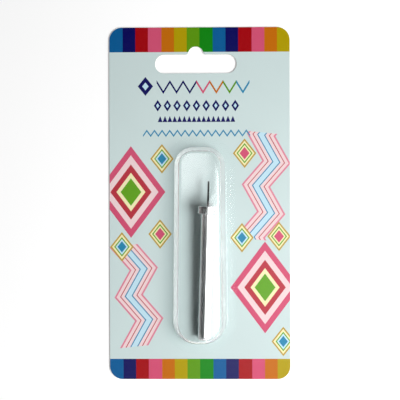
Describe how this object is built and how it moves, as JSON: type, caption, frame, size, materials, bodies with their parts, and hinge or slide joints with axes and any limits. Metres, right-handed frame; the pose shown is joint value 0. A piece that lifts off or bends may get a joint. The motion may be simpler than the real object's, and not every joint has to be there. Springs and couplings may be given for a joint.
{
  "type": "slotted quilling tool",
  "caption": "Slotted quilling tool with a round collar and metal handle, loose in a clear blister on a striped hanging card.",
  "frame": {"origin": "middle of the card's back face, which it lies on", "axes": "+Z out of the printed face, +Y up the card towards the hang slot, +X to the right seen from the front"},
  "size_m": [0.0706, 0.1378, 0.0098],
  "materials": {
    "printed_board": "printed, satin varnish",
    "clear_film": "clear, glossy",
    "dark_steel": "dark hardened steel",
    "polished_metal": "polished",
    "bush_brass": "turned"
  },
  "bodies": {
    "card": {"card": "printed_board"},
    "blister": {"blister": "clear_film"},
    "tool": {"needle": "dark_steel", "collar": "polished_metal", "needle_bush": "bush_brass", "handle_tube": "polished_metal", "end_plug": "polished_metal"}
  },
  "joints": [
    {"name": "blister_lift", "type": "slide", "parent": "card", "child": "blister", "axis": [0, 0, 1], "range_m": [0, 0.02]},
    {"name": "tool_slide", "type": "slide", "parent": "card", "child": "tool", "axis": [0.0297, 0.9996, 0], "range_m": [-0.0005, 0.0118]}
  ]
}
